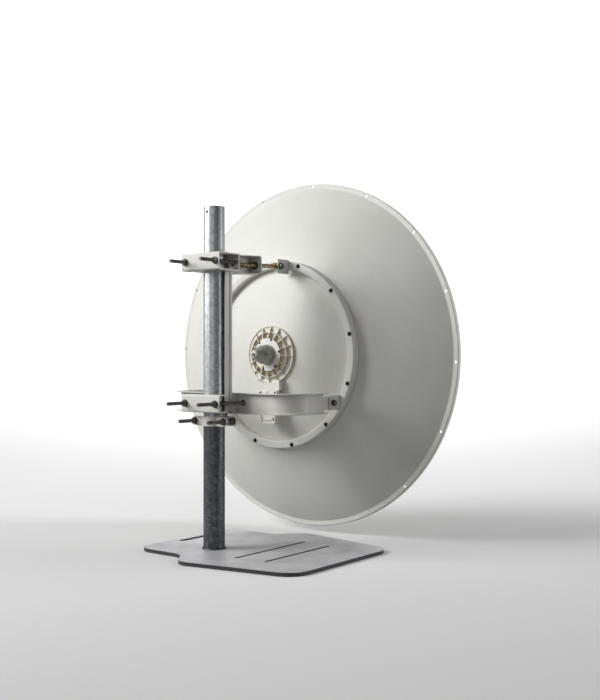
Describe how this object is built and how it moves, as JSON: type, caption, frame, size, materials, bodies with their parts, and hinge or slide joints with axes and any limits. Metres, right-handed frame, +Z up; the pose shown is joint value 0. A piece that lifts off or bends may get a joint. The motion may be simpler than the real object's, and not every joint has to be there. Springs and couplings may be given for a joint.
{
  "type": "microwave dish antenna",
  "caption": "White parabolic dish on a fork and clamps at a galvanised pole, with a rear hub, an elevation adjusting rod, and a steel base plate.",
  "frame": {"origin": "on the floor under the base plate, at the pole's axis", "axes": "+Z up along the pole, +Y along the dish's boresight at rest, +X to the right seen from behind the dish"},
  "size_m": [1.046, 0.8148, 1.065],
  "materials": {
    "white_powder_coat": "white satin powder coat on aluminium",
    "bracket_powder_coat": "white satin powder coat on bent steel",
    "galvanised_steel": "hot-dip galvanised",
    "dark_zinc_fasteners": "dull dark zinc plating",
    "yellow_zinc_rod": "yellow zinc plating",
    "ivory_moulded_plastic": "moulded, fine grain",
    "grey_cast_metal": "cast, matt grey",
    "brass_connector": "turned brass",
    "grey_steel_plate": "light grey paint on cut steel plate",
    "white_feed_plastic": "moulded",
    "drawn_aluminium": "plain"
  },
  "bodies": {
    "stand": {"base_plate": "grey_steel_plate", "pole": "galvanised_steel", "foot_weld": "galvanised_steel", "rest_clamp_back": "bracket_powder_coat", "rest_clamp_front": "bracket_powder_coat", "rest_bolt_left": "dark_zinc_fasteners", "rest_bolt_right": "dark_zinc_fasteners"},
    "head": {"upper_clamp": "bracket_powder_coat", "lower_clamp": "bracket_powder_coat", "upper_clamp_bolt_left": "dark_zinc_fasteners", "upper_clamp_bolt_right": "dark_zinc_fasteners", "lower_clamp_bolt_left": "dark_zinc_fasteners", "lower_clamp_bolt_right": "dark_zinc_fasteners", "mast_channel": "bracket_powder_coat", "upper_front_plate": "bracket_powder_coat", "fork_spacer": "bracket_powder_coat", "fork": "bracket_powder_coat", "adjuster_bracket": "bracket_powder_coat"},
    "dish": {"reflector": "white_powder_coat", "mounting_ring": "white_powder_coat", "ear_left": "bracket_powder_coat", "ear_right": "bracket_powder_coat", "pivot_bolt_left": "dark_zinc_fasteners", "pivot_bolt_right": "dark_zinc_fasteners", "adjuster_ear": "bracket_powder_coat", "adjuster_pin": "dark_zinc_fasteners", "hub": "ivory_moulded_plastic", "feed_adapter": "grey_cast_metal", "connector_end": "brass_connector", "connector_side": "brass_connector", "radio_tray": "ivory_moulded_plastic", "feed_tube": "drawn_aluminium", "feed_cone": "white_feed_plastic", "splash_plate": "drawn_aluminium"},
    "rod": {"adjusting_rod": "yellow_zinc_rod"},
    "nuts": {"adjuster_nut_back": "dark_zinc_fasteners", "adjuster_nut_front": "dark_zinc_fasteners"}
  },
  "joints": [
    {"name": "azimuth", "type": "hinge", "parent": "stand", "child": "head", "pos_m": [0, 0, 0.407], "axis": [0, 0, 1], "continuous": true},
    {"name": "elevation", "type": "hinge", "parent": "head", "child": "dish", "pos_m": [0, 0.2375, 0.407], "axis": [1, 0, 0], "range_deg": [0, 7]},
    {"name": "rod_eye", "type": "hinge", "parent": "dish", "child": "rod", "pos_m": [0.0375, 0.2295, 0.7975], "axis": [1, 0, 0], "range_deg": [-7, 0]},
    {"name": "nut_travel", "type": "slide", "parent": "rod", "child": "nuts", "axis": [0, 0.999, 0.0436], "range_m": [0, 0.0485]}
  ],
  "couplings": [
    {"joint": "rod_eye", "follows": "elevation", "ratio": -1},
    {"joint": "nut_travel", "follows": "elevation", "m_per_rad": 0.3906}
  ]
}
